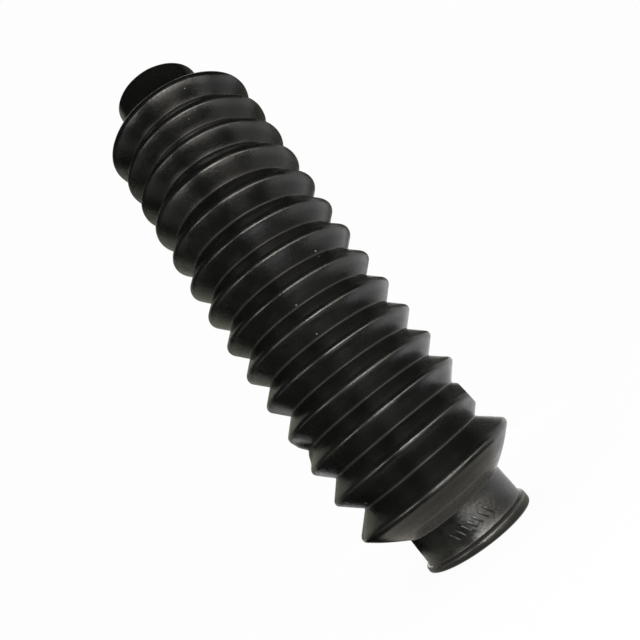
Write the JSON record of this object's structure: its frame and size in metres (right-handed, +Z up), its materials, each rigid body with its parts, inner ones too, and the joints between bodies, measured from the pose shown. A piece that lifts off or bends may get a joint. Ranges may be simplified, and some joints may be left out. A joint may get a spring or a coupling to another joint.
{
  "type": "rubber bellows boot",
  "caption": "Straight moulded rubber dust boot: a tube of deep rounded folds between two short cuffs, the lower one beaded for a clamp.",
  "frame": {"origin": "centre of the beaded end face, on which the boot stands", "axes": "+Z up the boot's axis towards the plain cuff; +X and +Y across it, any way round"},
  "size_m": [0.07, 0.07, 0.2322],
  "materials": {
    "rubber": "satin black moulded rubber"
  },
  "bodies": {
    "root": {"bellows_boot": "rubber"}
  },
  "joints": []
}
